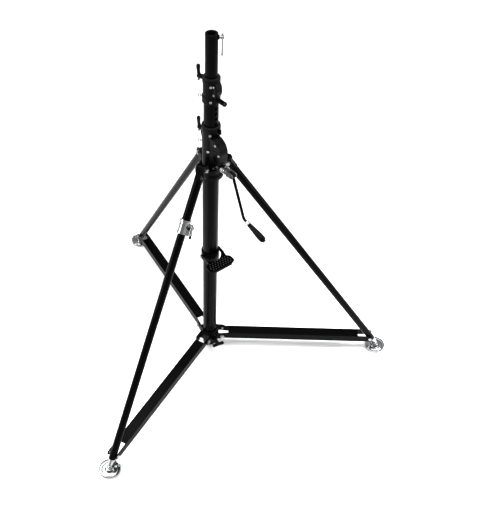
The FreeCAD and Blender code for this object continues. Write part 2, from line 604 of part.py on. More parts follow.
def strut_b():
    outer = rod(SLEEVE_R, at("b", 44.0), at("b", LEVEL_AT + 6.0))
    bore = rod(SLEEVE_BORE_R, at("b", 50.0), at("b", LEVEL_AT + 30.0))
    body = fuse(outer.cut(bore), *strut_head("b", SLEEVE_R))
    body = body.cut(rod(5.0 + 0.35, (STRUT_X, -20, STRUT_Z), (STRUT_X, 20, STRUT_Z)))
    return turned(body, LEG_AZ["b"])


def level_tube():
    length = leg_line("b")[2]
    outer = rod(STRUT_R, at("b", LEVEL_INNER), at("b", length + 20.0))
    bore = rod(STRUT_BORE_R, at("b", LEVEL_INNER - 10.0), at("b", length + 30.0))
    return turned(outer.cut(bore), LEG_AZ["b"])


def level_collar():
    c = LEVEL_AT
    body = rod(21.0, at("b", c - 26.0), at("b", c + 30.0))
    flange = rod(24.5, at("b", c - 28.0), at("b", c - 21.0))
    ridge = rod(22.2, at("b", c - 8.0), at("b", c - 3.0))
    end = rod(22.2, at("b", c + 24.0), at("b", c + 30.0))
    t, d, length = leg_line("b")
    side = V(-d.z, 0, d.x) * -1.0
    ears = []
    for off in (-7.5, 7.5):
        ear = Part.makeBox(5.0, 22.0, 44.0, V(-2.5 + off, 12.0, -14.0))
        ears.append(ear)
    ears = Part.makeCompound(ears)
    m = FreeCAD.Matrix(side.x, 0, d.x, t.x + d.x * c, side.y, 1, d.y, t.y + d.y * c,
                       side.z, 0, d.z, t.z + d.z * c, 0, 0, 0, 1)
    ears = ears.transformGeometry(m)
    body = fuse(body, flange, ridge, end, *ears.Solids)
    body = body.cut(rod(SLEEVE_R + FIT, at("b", c - 60.0), at("b", c + 6.2)))
    body = body.cut(rod(STRUT_R + RUN, at("b", c), at("b", c + 60.0)))
    p = V(*at("b", c)) + V(0, 27.5, 0)
    body = body.cut(rod(3.1, tuple(p - side * 20.0), tuple(p + side * 20.0)))
    return turned(body, LEG_AZ["b"])


def level_lever():
    c = LEVEL_AT
    t, d, length = leg_line("b")
    side = V(-d.z, 0, d.x) * -1.0
    p = V(*at("b", c)) + V(0, 27.5, 0)
    a = p + side * 14.6
    end = a + d * 40.0 + V(0, 5.0, 0)
    screw = rod(3.0, tuple(p - side * 13.4), tuple(p + side * 17.0))
    head = rod(6.2, tuple(p - side * 14.6), tuple(p - side * 10.3))
    hub = rod(7.4, tuple(p + side * 10.3), tuple(p + side * 19.0))
    arm = rod(4.6, tuple(a), tuple(end))
    return turned(fuse(screw, head, hub, arm, Part.makeSphere(4.6, end)), LEG_AZ["b"])


def ball_point(leg):
    t, d, length = leg_line(leg)
    return (BALL_Z - t.z) / d.z


def foot_stub(leg):
    length = leg_line(leg)[2]
    ball = ball_point(leg)
    plug = rod(STRUT_BORE_R - FIT, at(leg, length - 12.0), at(leg, length + 21.0))
    collar = rod(STRUT_R - 0.4, at(leg, length + 20.1), at(leg, length + 25.0))
    neck = rod(11.8, at(leg, length + 24.0), at(leg, ball - 14.0))
    t, d, full = leg_line(leg)
    cone = Part.makeCone(11.8, 7.0, 7.0, V(*at(leg, ball - 14.2)), d)
    stem = rod(7.0, at(leg, ball - 8.0), at(leg, ball))
    sphere = Part.makeSphere(BALL_R, V(*at(leg, ball)))
    return turned(fuse(plug, collar, neck, cone, stem, sphere), LEG_AZ[leg])


def foot_disc(leg):
    x = at(leg, ball_point(leg))[0]
    body = revolve([(0.0, 6.0), (30.0, 6.0), (34.0, 4.2), (DISC_R - 1.4, 4.2), (DISC_R, 5.6),
                    (DISC_R, 13.0), (DISC_R - 1.2, 14.4), (DISC_R - 2.8, 13.4),
                    (DISC_R - 3.2, 8.2), (35.5, 7.6), (31.0, 9.4), (20.0, 9.8), (18.0, 12.0),
                    (17.0, 20.5), (15.2, 23.4), (0.0, 23.4)], x)
    body = body.cut(Part.makeSphere(BALL_R + 0.35, V(x, 0, BALL_Z)))
    return turned(body, LEG_AZ[leg])


def foot_pad(leg):
    x = at(leg, ball_point(leg))[0]
    pad = revolve([(0.0, 0.0), (DISC_R - 3.0, 0.0), (DISC_R - 1.6, 1.4), (DISC_R - 1.6, 4.1),
                   (34.0, 4.1), (30.0, 5.9), (0.0, 5.9)], x)
    return turned(pad, LEG_AZ[leg])


# ---- base hub and braces ------------------------------------------------
def base_hub():
    body = revolve([(LOW_R + RUN, 54.0), (40.0, 54.0), (42.0, 57.0), (42.0, 92.0),
                    (38.0, 101.0), (36.5, 112.0), (LOW_R + RUN, 112.0)])
    parts = []
    for az in LEG_AZ.values():
        for side in (-1, 1):
            y0, y1 = sorted((side * (BRACE_HALF + 0.6), side * (BRACE_HALF + 7.0)))
            lug = prism([(20.0, 60.0), (58.0, 64.0), (70.0, 68.0), (75.0, 80.0), (71.0, 91.0),
                         (60.0, 96.0), (20.0, 98.0)], y0, y1)
            parts.append(turned(lug, az))
        parts.append(turned(box(24.0, 41.0, -29.0, 29.0, 60.0, 98.0), az))
    knob_boss = turned(rod(11.0, (36.0, 0, 74.0), (56.0, 0, 74.0)), KNOB_AZ)
    body = fuse(body, knob_boss, *parts)
    body = body.cut(cyl(LOW_R + RUN, 0.0, 200.0))
    body = body.cut(turned(rod(4.7, (20.0, 0, 74.0), (60.0, 0, 74.0)), KNOB_AZ))
    for az in LEG_AZ.values():
        body = body.cut(turned(rod(5.0 + FIT, (BRACE_X, -40, BRACE_Z), (BRACE_X, 40, BRACE_Z)), az))
    return body


def base_hub_bolts():
    bolts = []
    for az in LEG_AZ.values():
        for side in (-1, 1):
            y0, y1, y2 = side * 18.6, side * 31.0, side * (BRACE_HALF + 7.1)
            shank = rod(5.0, (BRACE_X, y0, BRACE_Z), (BRACE_X, y1, BRACE_Z))
            head = hexagon(15.0, (BRACE_X, y2, BRACE_Z), (BRACE_X, y2 + side * 5.4, BRACE_Z))
            bolts.append(turned(fuse(shank, head), az))
    return Part.makeCompound(bolts)


def base_knob():
    z = 74.0
    screw = rod(4.3, (32.4, 0, z), (66.0, 0, z))
    hub = rod(9.0, (62.0, 0, z), (84.0, 0, z))
    bar = rod(7.6, (84.0, -22.0, z), (84.0, 22.0, z))
    ends = [Part.makeSphere(8.6, V(84.0, s * 20.5, z)) for s in (-1, 1)]
    knob = fuse(screw, hub, bar, *ends)
    knob.rotate(V(0, 0, z), V(1, 0, 0), 6.0)
    return turned(knob, KNOB_AZ)


def brace(leg):
    x0, x1 = BRACE_X, FOOT_X[leg]
    slope = math.degrees(math.atan2(BRACE_Z - FOOT_Z, x1 - x0))
    length = math.hypot(x1 - x0, BRACE_Z - FOOT_Z)
    up, down = BRACE_UP, BRACE_DOWN
    parts = []
    for side in (-1, 1):
        y0, y1 = sorted((side * BRACE_HALF, side * (BRACE_HALF - BRACE_T)))
        flange = prism([(-8.0, 9.5), (-8.0, -9.5), (-2.0, -13.5), (24.0, -down),
                        (length - 22.0, -down), (length + 2.0, -15.0), (length + 11.0, -8.0),
                        (length + 13.0, 2.0), (length + 9.0, 11.0), (length - 4.0, up - 3.0),
                        (length - 30.0, up), (30.0, up), (0.0, 13.0)], y0, y1)
        parts.append(flange)
    web = box(29.0, length - 58.0, -BRACE_HALF, BRACE_HALF, up - BRACE_T, up)
    body = fuse(web, *parts)
    body = soften(body, 2.4, lambda e: e.Length > 400.0 and e.BoundBox.ZMax > up - 0.1
                  and abs(abs(e.CenterOfMass.y) - BRACE_HALF) < 0.1)
    body = body.cut(rod(5.0 + 0.35, (0, -40, 0), (0, 40, 0)))
    body = body.cut(rod(5.0 + FIT, (length, -40, 0), (length, 40, 0)))
    body.rotate(V(0, 0, 0), V(0, 1, 0), slope)
    body.translate(V(BRACE_X, 0, BRACE_Z))
    return turned(body, LEG_AZ[leg])


def brace_bolts(leg):
    bolts = []
    x = FOOT_X[leg]
    for side in (-1, 1):
        y0, y1 = side * 19.6, side * (BRACE_HALF + 1.0)
        y2 = side * (BRACE_HALF + 0.1)
        shank = rod(5.0, (x, y0, FOOT_Z), (x, y1, FOOT_Z))
        head = rod(7.6, (x, y2, FOOT_Z), (x, y2 + side * 4.2, FOOT_Z))
        head = soften(head, 1.6, lambda e: abs(abs(e.CenterOfMass.y) - abs(y2) - 4.2) < 0.1
                      and e.Length > 20.0)
        bolts.append(turned(fuse(shank, head), LEG_AZ[leg]))
    return Part.makeCompound(bolts)


# ---- foot pedal ---------------------------------------------------------
def pedal_collar():
    body = revolve([(BASE_R + FIT, 586.0), (37.6, 586.0), (38.6, 588.0), (38.6, 632.0),
                    (37.6, 634.0), (BASE_R + FIT, 634.0)])
    cross = rod(9.0, (0, -PEDAL_HALF + 0.5, PEDAL_Z), (0, PEDAL_HALF - 0.5, PEDAL_Z))
    body = fuse(body, cross)
    body = body.cut(cyl(BASE_R + FIT, 500.0, 700.0))
    body = body.cut(rod(4.0 + FIT, (0, -60, PEDAL_Z), (0, 60, PEDAL_Z)))
    return turned(body, PEDAL_AZ)


def pedal_bolts():
    out = []
    for side in (-1, 1):
        y0, y1 = side * 34.6, side * (PEDAL_HALF + 5.0)
        shank = rod(4.0, (0, y0, PEDAL_Z), (0, y1, PEDAL_Z))
        y2 = side * (PEDAL_HALF + 3.5)
        head = hexagon(12.0, (0, y2, PEDAL_Z), (0, y2 + side * 4.4, PEDAL_Z))
        out.append(fuse(shank, head))
    return turned(Part.makeCompound(out), PEDAL_AZ)


def pedal():
    h = PEDAL_HALF
    half = [(22.0, h + 3.0), (42.0, h + 3.0), (56.0, 62.0), (66.0, 65.0), (82.0, 65.0),
            (92.0, 60.0), (98.0, 44.0)]
    outline = half + [(x, -y) for x, y in reversed(half)]
    pts = [V(x, y, 600.0) for x, y in outline]
    plate = Part.Face(Part.makePolygon(pts + [pts[0]])).extrude(V(0, 0, 3.0))
    plate = soften(plate, 5.0, lambda e: e.Length < 3.5 and e.BoundBox.XMin > 50.0)
    ears = []
    for side in (-1, 1):
        y0, y1 = sorted((side * h, side * (h + 3.0)))
        ears.append(prism([(-9.0, 606.0), (-9.0, 619.0), (-3.0, 625.0), (8.0, 626.0),
                           (30.0, 622.0), (50.0, 612.0), (60.0, 600.0), (22.0, 600.0),
                           (6.0, 602.0)], y0, y1))
    lip = box(94.9, 97.9, -44.0, 44.0, 592.0, 602.0)
    body = fuse(plate, lip, *ears)
    dots = []
    for row in range(4):
        for col in range(-4, 5):
            y = col * 13.0 + (6.5 if row % 2 else 0.0)
            if abs(y) < 56.0 - abs(row - 1.5) * 6.0:
                dots.append(Part.makeCone(3.4, 2.0, 1.7, V(52.0 + row * 11.5, y, 603.0)))
    body = fuse(body, *dots)
    body = body.cut(rod(4.0 + 0.35, (0, -60, PEDAL_Z), (0, 60, PEDAL_Z)))
    body = body.cut(cyl(46.5, 560.0, 603.5))
    return turned(body, PEDAL_AZ)


def main():
    os.makedirs("parts", exist_ok=True)
    save("base_tube", base_tube())
    save("lower_tube", lower_tube())
    save("base_cap", base_cap())
    save("leg_hub", leg_hub())
    save("hub_bolts", hub_bolts())
    save("gearbox_casting", gearbox_casting())
    save("gearbox_cover", gearbox_cover())
    save("gearbox_screws", gearbox_screws())
    save("gearbox_bush", gearbox_bush())
    save("gearbox_ring", eye_ring(COLLAR_R + FIT, 1212.0, 172.0))
    save("crank_boss", crank_boss())
    save("sprocket", sprocket())
    save("worm_wheel", worm_wheel())
    save("sprocket_shaft", sprocket_shaft())
    save("worm_shaft", worm_shaft())
    save("crank_yoke", crank_yoke())
    save("crank_arm", crank_arm())
    save("crank_ferrule", crank_ferrule())
    save("crank_grip", crank_grip())
    save("lower_lever", lock_lever(1262.0, 32.5))
    save("upper_lever", lock_lever(1486.0, 27.9))
    save("mid_riser", mid_riser())
    save("mid_foot_bush", mid_foot_bush())
    save("upper_collar", upper_collar())
    save("upper_screws", upper_screws())
    save("upper_bush", upper_bush())
    save("upper_ring", eye_ring(34.2 + FIT, 1415.0, 172.0))
    save("plunger_knob", plunger_knob())
    save("top_riser", top_riser())
    save("top_foot_bush", top_foot_bush())
    save("top_socket", top_socket())
    save("socket_screw", socket_screw())
    save("tommy_bar", tommy_bar())
    save("strut_a", strut_plain("a"))
    save("strut_b", strut_b())
    save("strut_c", strut_plain("c"))
    save("level_tube", level_tube())
    save("level_collar", level_collar())
    save("level_lever", level_lever())
    save("base_hub", base_hub())
    save("base_hub_bolts", base_hub_bolts())
    save("base_knob", base_knob())
    save("pedal_collar", pedal_collar())
    save("pedal_bolts", pedal_bolts())
    save("pedal", pedal())
    for leg in LEG_AZ:
        save("foot_stub_" + leg, foot_stub(leg))
        save("foot_disc_" + leg, foot_disc(leg))
        save("foot_pad_" + leg, foot_pad(leg))
        save("brace_" + leg, brace(leg))
        save("brace_bolts_" + leg, brace_bolts(leg))


main()
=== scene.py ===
import json
import logging
import math
from dataclasses import dataclass, field
from enum import Enum
from typing import Callable, Union

import bmesh
import bpy
from mathutils import Matrix, Vector


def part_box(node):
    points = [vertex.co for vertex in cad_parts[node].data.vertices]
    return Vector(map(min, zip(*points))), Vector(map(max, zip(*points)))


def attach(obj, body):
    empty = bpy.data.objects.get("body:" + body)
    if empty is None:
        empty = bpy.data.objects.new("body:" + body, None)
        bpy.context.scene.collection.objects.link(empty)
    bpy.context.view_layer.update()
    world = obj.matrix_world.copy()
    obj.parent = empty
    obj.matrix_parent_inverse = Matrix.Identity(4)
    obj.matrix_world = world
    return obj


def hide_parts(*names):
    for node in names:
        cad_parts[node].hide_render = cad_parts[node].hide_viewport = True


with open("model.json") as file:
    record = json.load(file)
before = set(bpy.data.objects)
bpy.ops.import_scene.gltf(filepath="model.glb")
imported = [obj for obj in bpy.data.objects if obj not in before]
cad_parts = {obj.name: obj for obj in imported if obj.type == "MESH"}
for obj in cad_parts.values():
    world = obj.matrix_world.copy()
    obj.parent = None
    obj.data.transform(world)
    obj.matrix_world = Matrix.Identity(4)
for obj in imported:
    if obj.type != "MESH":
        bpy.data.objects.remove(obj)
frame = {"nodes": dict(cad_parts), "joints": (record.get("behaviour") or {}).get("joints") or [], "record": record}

log = logging.getLogger("lighting_stand")
MM = 0.001
Colour = tuple[float, float, float]
Ring = tuple[float, float]  # radius and height of one ring of a turned profile
Fed = Union["Value", bpy.types.NodeSocket, float, Colour]


# ---- shader arithmetic -----------------------------------------------------
class Value:
    """A number that varies over a surface, usable in plain arithmetic."""

    def __init__(self, net: "Network", socket: bpy.types.NodeSocket) -> None:
        """Keep the socket and the network it belongs to."""
        self.net = net
        self.socket = socket

    def __add__(self, other: "Value | float") -> "Value":
        """Sum of two values."""
        return self.net.math("ADD", self, other)

    __radd__ = __add__

    def __sub__(self, other: "Value | float") -> "Value":
        """Difference, this value first."""
        return self.net.math("SUBTRACT", self, other)

    def __rsub__(self, other: float) -> "Value":
        """Difference, the number first."""
        return self.net.math("SUBTRACT", other, self)

    def __mul__(self, other: "Value | float") -> "Value":
        """Product of two values."""
        return self.net.math("MULTIPLY", self, other)

    __rmul__ = __mul__

    def ramp(self, low: float, high: float) -> "Value":
        """Smooth step from 0 at low to 1 at high.

        Args:
            low: value that gives 0.
            high: value that gives 1.

        Returns:
            The stepped value.
        """
        made = self.net.node(
            "ShaderNodeMapRange", {"interpolation_type": "SMOOTHSTEP"},
            {"Value": self, "From Min": low, "From Max": high},
        )
        return Value(self.net, made.outputs["Result"])


class Network:
    """The node tree of one material, with one Principled shader."""

    def __init__(self, name: str) -> None:
        """Start an empty tree that ends in a Principled shader."""
        self.material = bpy.data.materials.new(name)
        self.material.use_nodes = True
        self.tree = self.material.node_tree
        self.tree.nodes.clear()
        self.shader = self.tree.nodes.new("ShaderNodeBsdfPrincipled")
        output = self.tree.nodes.new("ShaderNodeOutputMaterial")
        self.tree.links.new(self.shader.outputs["BSDF"], output.inputs["Surface"])
        self.place = self.node("ShaderNodeTexCoord").outputs["Object"]

    def node(self, kind: str, settings: dict | None = None,
             sockets: dict | None = None) -> bpy.types.Node:
        """Add a node.

        Args:
            kind: the node's type name.
            settings: properties that are set first.
            sockets: input name or index, with a number, colour, socket or Value.

        Returns:
            The new node.
        """
        made = self.tree.nodes.new(kind)
        for key, value in (settings or {}).items():
            setattr(made, key, value)
        for key, value in (sockets or {}).items():
            self.feed(made.inputs[key], value)
        return made

    def feed(self, target: bpy.types.NodeSocket, value: Fed) -> None:
        """Link a socket or Value to an input, or set its number.

        Args:
            target: the input.
            value: a Value or socket to link, or a number or colour to set.
        """
        if isinstance(value, Value):
            self.tree.links.new(value.socket, target)
        elif isinstance(value, bpy.types.NodeSocket):
            self.tree.links.new(value, target)
        elif isinstance(value, tuple) and len(value) == 3 and target.type == "RGBA":
            target.default_value = (*value, 1.0)
        else:
            target.default_value = value

    def math(self, operation: str, a: Fed, b: Fed) -> Value:
        """Add one Math node and return its result."""
        made = self.node("ShaderNodeMath", {"operation": operation}, {0: a, 1: b})
        return Value(self, made.outputs[0])

    def stretched(self, scale: Colour) -> bpy.types.NodeSocket:
        """Object coordinates scaled per axis, for marks that run one way."""
        made = self.node("ShaderNodeMapping", None, {"Vector": self.place, "Scale": scale})
        return made.outputs["Vector"]

    def noise(self, size: float, detail: float = 3.0, rough: float = 0.55,
              place: bpy.types.NodeSocket | None = None) -> Value:
        """Fractal noise with features of about the given size.

        Args:
            size: size of a feature, in metres.
            detail: number of finer layers.
            rough: strength of the finer layers.
            place: coordinates to use in place of the object's own.

        Returns:
            The noise, from 0 to 1.
        """
        made = self.node(
            "ShaderNodeTexNoise", None,
            {"Vector": place or self.place, "Scale": 1.0 / size, "Detail": detail, "Roughness": rough},
        )
        return Value(self, made.outputs[0])

    def cells(self, size: float) -> Value:
        """Distance to the nearest of scattered points about size apart."""
        made = self.node("ShaderNodeTexVoronoi", None, {"Vector": self.place, "Scale": 1.0 / size})
        return Value(self, made.outputs["Distance"])

    def blend(self, amount: Value, first: Fed, second: Fed) -> bpy.types.NodeSocket:
        """Mix two colours by a value."""
        made = self.node("ShaderNodeMix", {"data_type": "RGBA"}, {0: amount, 6: first, 7: second})
        return made.outputs[2]

    def bump(self, height: Value, depth: float) -> bpy.types.NodeSocket:
        """A normal bent by a height in metres times depth."""
        made = self.node("ShaderNodeBump", None, {"Height": height, "Distance": depth, "Strength": 1.0})
        return made.outputs["Normal"]

    def finish(self, **sockets: Fed) -> bpy.types.Material:
        """Feed the shader's sockets.

        Args:
            sockets: what each input gets, by its name with _ for a space.

        Returns:
            The finished material.
        """
        for key, value in sockets.items():
            self.feed(self.shader.inputs[key.replace("_", " ")], value)
        return self.material


# ---- finishes ----------------------------------------------------------------
@dataclass(frozen=True)
class PowderCoat:
    """Gloss black coat on drawn steel tube, with rub marks along the tube."""

    name: str
    colour: Colour = (0.0012, 0.0012, 0.0014)
    worn: Colour = (0.016, 0.015, 0.015)
    roughness: float = 0.16
    rubbed: float = 0.14
    gloss: float = 0.07
    peel_size: float = 0.0024
    peel_depth: float = 0.00003
    streak: Colour = (1.0, 1.0, 0.04)
    streak_width: float = 0.0016
    patch_size: float = 0.045
    speck_size: float = 0.0035
    cloud_size: float = 0.12

    def build(self) -> bpy.types.Material:
        """Build the material."""
        net = Network(self.name)
        cloud = net.noise(self.cloud_size)
        lines = net.noise(self.streak_width, 2.0, place=net.stretched(self.streak)).ramp(0.56, 0.78)
        patch = net.noise(self.patch_size, 4.0).ramp(0.52, 0.68)
        marks = lines * patch
        specks = net.noise(self.speck_size, 2.0).ramp(0.74, 0.80)
        colour = net.blend(marks * 0.7 + specks * 0.35, self.colour, self.worn)
        peel = net.noise(self.peel_size, 2.0)
        return net.finish(
            Base_Color=colour,
            Roughness=self.roughness + cloud * 0.08 + marks * self.rubbed + specks * 0.15,
            Specular_IOR_Level=self.gloss,
            Normal=net.bump(peel - marks * 0.4, self.peel_depth),
        )


@dataclass(frozen=True)
class CastCoat:
    """Satin black coat on a sand casting, with a pebbled skin."""

    name: str
    colour: Colour = (0.0016, 0.0016, 0.0018)
    worn: Colour = (0.026, 0.025, 0.024)
    roughness: float = 0.26
    pebble: float = 0.0016
    depth: float = 0.00016
    gloss: float = 0.10
    chip_size: float = 0.004
    cloud_size: float = 0.05

    def build(self) -> bpy.types.Material:
        """Build the material."""
        net = Network(self.name)
        skin = net.cells(self.pebble) * 0.6 + net.noise(self.pebble * 0.6, 3.0)
        chips = net.noise(self.chip_size, 4.0, 0.65).ramp(0.70, 0.76)
        cloud = net.noise(self.cloud_size)
        colour = net.blend(chips * 0.55, self.colour, self.worn)
        return net.finish(
            Base_Color=colour,
            Roughness=self.roughness + cloud * 0.16 + chips * 0.1,
            Specular_IOR_Level=self.gloss,
            Normal=net.bump(skin, self.depth),
        )


@dataclass(frozen=True)
class BareMetal:
    """Bright or plated metal with fine handling scratches."""

    name: str
    colour: Colour
    dull: Colour
    roughness: float
    haze: float = 0.12
    grain: Colour = (1.0, 1.0, 1.0)
    grain_size: float = 0.0008
    grain_depth: float = 0.00002
    cloud_size: float = 0.03
    spot_size: float = 0.006

    def build(self) -> bpy.types.Material:
        """Build the material."""
        net = Network(self.name)
        cloud = net.noise(self.cloud_size, 4.0)
        grain = net.noise(self.grain_size, 2.0, place=net.stretched(self.grain))
        spots = net.noise(self.spot_size, 5.0, 0.7).ramp(0.66, 0.78)
        colour = net.blend(cloud * 0.5 + spots * 0.4, self.colour, self.dull)
        return net.finish(
            Base_Color=colour,
            Metallic=1.0,
            Roughness=self.roughness + cloud * self.haze + grain * 0.06 + spots * 0.12,
            Normal=net.bump(grain, self.grain_depth),
        )


@dataclass(frozen=True)
class Moulding:
    """Moulded plastic or rubber with a fine matt skin."""

    name: str
    colour: Colour
    scuffed: Colour
    roughness: float
    skin: float = 0.0007
    depth: float = 0.00006
    gloss: float = 0.10
    scuff_size: float = 0.009
    cloud_size: float = 0.04

    def build(self) -> bpy.types.Material:
        """Build the material."""
        net = Network(self.name)
        skin = net.noise(self.skin, 3.0, 0.6)
        scuffs = net.noise(self.scuff_size, 5.0, 0.7).ramp(0.60, 0.75)
        cloud = net.noise(self.cloud_size)
        colour = net.blend(scuffs * 0.5, self.colour, self.scuffed)
        return net.finish(
            Base_Color=colour,
            Roughness=self.roughness + cloud * 0.1 + scuffs * 0.12,
            Specular_IOR_Level=self.gloss,
            Normal=net.bump(skin, self.depth),
        )


class Slot(Enum):
    """The record's material slots, each with its finish."""

    BLACK_GLOSS = PowderCoat("black_gloss_coat")
    BLACK_CASTING = CastCoat("black_casting_coat")
    BLACK_SHEET = PowderCoat("black_sheet_coat", roughness=0.22, streak=(1.0, 1.0, 1.0))
    BLACK_PLASTIC = Moulding("black_nylon", (0.002, 0.002, 0.002), (0.018, 0.018, 0.018), 0.26)
    ZINC_BOLTS = BareMetal("zinc_plated_steel", (0.42, 0.42, 0.42), (0.22, 0.22, 0.22), 0.22)
    BUSH_PLASTIC = Moulding("bush_acetal", (0.02, 0.02, 0.02), (0.06, 0.06, 0.06), 0.42)
    BRIGHT_RING = BareMetal("bright_steel", (0.36, 0.36, 0.37), (0.20, 0.20, 0.20), 0.22)
    CHROME = BareMetal("chrome_plate", (0.40, 0.405, 0.41), (0.24, 0.244, 0.25), 0.07, 0.05)
    PAD_RUBBER = Moulding("grey_rubber", (0.20, 0.20, 0.20), (0.30, 0.30, 0.29), 0.62, 0.0011)
    GEAR_STEEL = BareMetal("cut_steel", (0.52, 0.52, 0.53), (0.30, 0.29, 0.27), 0.28)
    GEAR_BRASS = BareMetal("cut_bronze", (0.72, 0.50, 0.22), (0.45, 0.30, 0.14), 0.28)
    YOKE_STEEL = BareMetal("grey_steel", (0.13, 0.13, 0.135), (0.07, 0.07, 0.07), 0.28)
    ARM_BLACK = PowderCoat("black_arm_coat", roughness=0.22)
    SOCKET_METAL = PowderCoat("black_socket_coat", roughness=0.30)


@dataclass
class Finishes:
    """Materials by record slot, built once each."""

    made: dict[Slot, bpy.types.Material] = field(default_factory=dict)

    def get(self, slot: Slot) -> bpy.types.Material:
        """The material of a slot, built at its first use."""
        if slot not in self.made:
            self.made[slot] = slot.value.build()
        return self.made[slot]

    def dress_frame(self) -> None:
        """Give every CAD node the finish of its slot."""
        for part in frame["record"]["subparts"]:
            node = frame["nodes"][part["node"]]
            node.data.materials.clear()
            node.data.materials.append(self.get(Slot[part["material_slot"].upper()]))
            log.info("dressed %s", part["node"])


# ---- studio ------------------------------------------------------------------
@dataclass(frozen=True)
class SoftBox:
    """A rectangular lamp that faces the middle of the stand."""

    name: str
    place: Colour
    size: tuple[float, float]
    power: float
    aim: Colour = (0.0, 0.0, 0.9)

    def hang(self) -> None:
        """Hang the lamp."""
        lamp = bpy.data.lights.new(self.name, "AREA")
        lamp.shape = "RECTANGLE"
        lamp.size, lamp.size_y = self.size
        lamp.energy = self.power
        hold_lamp(lamp, self.place, self.aim)


@dataclass(frozen=True)
class Pool:
    """A lamp that throws a soft round pool of light on the floor beside the stand."""

    name: str
    place: Colour
    aim: Colour
    power: float = 800.0
    spread_deg: float = 29.0
    softness: float = 0.35

    def hang(self) -> None:
        """Hang the lamp."""
        lamp = bpy.data.lights.new(self.name, "SPOT")
        lamp.energy = self.power
        lamp.spot_size = math.radians(self.spread_deg)
        lamp.spot_blend = 1.0
        lamp.shadow_soft_size = self.softness
        hold_lamp(lamp, self.place, self.aim)


def hold_lamp(lamp: bpy.types.Light, place: Colour, aim: Colour) -> None:
    """Put a lamp in the scene.

    Args:
        lamp: the lamp's data.
        place: where it hangs.
        aim: the point that it faces.
    """
    holder = bpy.data.objects.new(lamp.name, lamp)
    bpy.context.scene.collection.objects.link(holder)
    holder.location = place
    holder.rotation_euler = (Vector(aim) - Vector(place)).to_track_quat("-Z", "Y").to_euler()


@dataclass
class Studio:
    """Floor, sky, soft lights and camera."""

    floor_size: float = 16.0
    floor_z: float = -0.5 * MM
    floor_colour: Colour = (0.90, 0.90, 0.90)
    floor_roughness: float = 0.85
    patch_size: float = 0.6
    patch_share: float = 0.985
    lens: float = 56.25
    azimuth: float = 2.173
    elevation: float = 43.886
    distance: float = 3.3817
    roll: float = -0.3661
    target: Colour = (-0.0447, -0.0017, 0.7165)
    shift: tuple[float, float] = (0.0786, -0.0407)
    exposure: float = 0.15
    gamma: float = 0.80
    horizon: tuple[float, float] = (0.12, 0.9)
    middle_sky: tuple[tuple[float, float], ...] = ((0.30, 0.50), (0.70, 0.50))
    overhead: tuple[float, float] = (0.95, 1.5)
    lamps: tuple[SoftBox | Pool, ...] = (
        SoftBox("left_box", (-2.6, -0.9, 1.9), (1.0, 2.6), 55.0),
        SoftBox("right_box", (2.4, -0.3, 1.8), (0.5, 2.6), 30.0),
        SoftBox("top_box", (0.0, 0.4, 4.2), (3.8, 3.8), 120.0),
        Pool("left_pool", (-2.3, -1.4, 2.9), (-0.80, -0.55, 0.0)),
        Pool("right_pool", (2.6, 0.1, 2.9), (0.90, -0.05, 0.0)),
    )

    def build(self) -> None:
        """Build all of the studio."""
        self.floor()
        self.sky()
        for lamp in self.lamps:
            lamp.hang()
        self.camera()

    def floor(self) -> None:
        """Lay the pale floor."""
        bpy.ops.mesh.primitive_plane_add(size=self.floor_size, location=(0.0, 0.0, self.floor_z))
        floor = bpy.context.object
        floor.name = "studio_floor"
        net = Network("pale_floor")
        tone = net.noise(self.patch_size).ramp(0.2, 0.8)
        duller = tuple(self.patch_share * grey for grey in self.floor_colour)
        colour = net.blend(tone, duller, self.floor_colour)
        floor.data.materials.append(net.finish(Base_Color=colour, Roughness=self.floor_roughness))

    def sky(self) -> None:
        """Set the light from all round, by how high it comes from, and the view's tone."""
        world = bpy.data.worlds.new("studio_sky")
        world.use_nodes = True
        tree = world.node_tree
        place = tree.nodes.new("ShaderNodeTexCoord")
        height = tree.nodes.new("ShaderNodeSeparateXYZ")
        shade = tree.nodes.new("ShaderNodeValToRGB")
        tree.links.new(place.outputs["Generated"], height.inputs[0])
        tree.links.new(height.outputs["Z"], shade.inputs[0])
        tree.links.new(shade.outputs["Color"], tree.nodes["Background"].inputs["Color"])
        stops = shade.color_ramp.elements
        for stop, (height_at, grey) in zip(stops, (self.horizon, self.overhead)):
            stop.position, stop.color = height_at, (grey, grey, grey, 1.0)
        for height_at, grey in self.middle_sky:
            stops.new(height_at).color = (grey, grey, grey, 1.0)
        bpy.context.scene.world = world
        view = bpy.context.scene.view_settings
        view.view_transform = "Standard"
        view.exposure, view.gamma = self.exposure, self.gamma

    def camera(self) -> None:
        """Place the camera at its height, turn and roll."""
        a, e, r = (math.radians(v) for v in (self.azimuth, self.elevation, self.roll))
        back = Vector((math.sin(a) * math.cos(e), -math.cos(a) * math.cos(e), math.sin(e)))
        right = Vector((math.cos(a), math.sin(a), 0.0))
        up = back.cross(right)
        across = right * math.cos(r) + up * math.sin(r)
        above = up * math.cos(r) - right * math.sin(r)
        data = bpy.data.cameras.new("studio_camera")
        data.lens = self.lens
        data.shift_x, data.shift_y = self.shift
        data.dof.use_dof = False
        camera = bpy.data.objects.new("studio_camera", data)
        bpy.context.scene.collection.objects.link(camera)
        turn = Matrix((across, above, back)).transposed().to_4x4()
        camera.matrix_world = Matrix.Translation(Vector(self.target) + back * self.distance) @ turn
        bpy.context.scene.camera = camera


# ---- modelling tools ---------------------------------------------------------
@dataclass(frozen=True)
class Spot:
    """A place and a direction in the row frame."""

    place: Vector
    axis: Vector

    def along(self, distance: float) -> Vector:
        """The point that lies distance along the axis."""
        return self.place + self.axis * distance


def spot_of(joint_name: str) -> Spot:
    """The place and axis of a hinge of the frame."""
    joint = next(j for j in frame["joints"] if j["name"] == joint_name)
    return Spot(Vector(joint["pos_m"]), Vector(joint["axis"]).normalized())


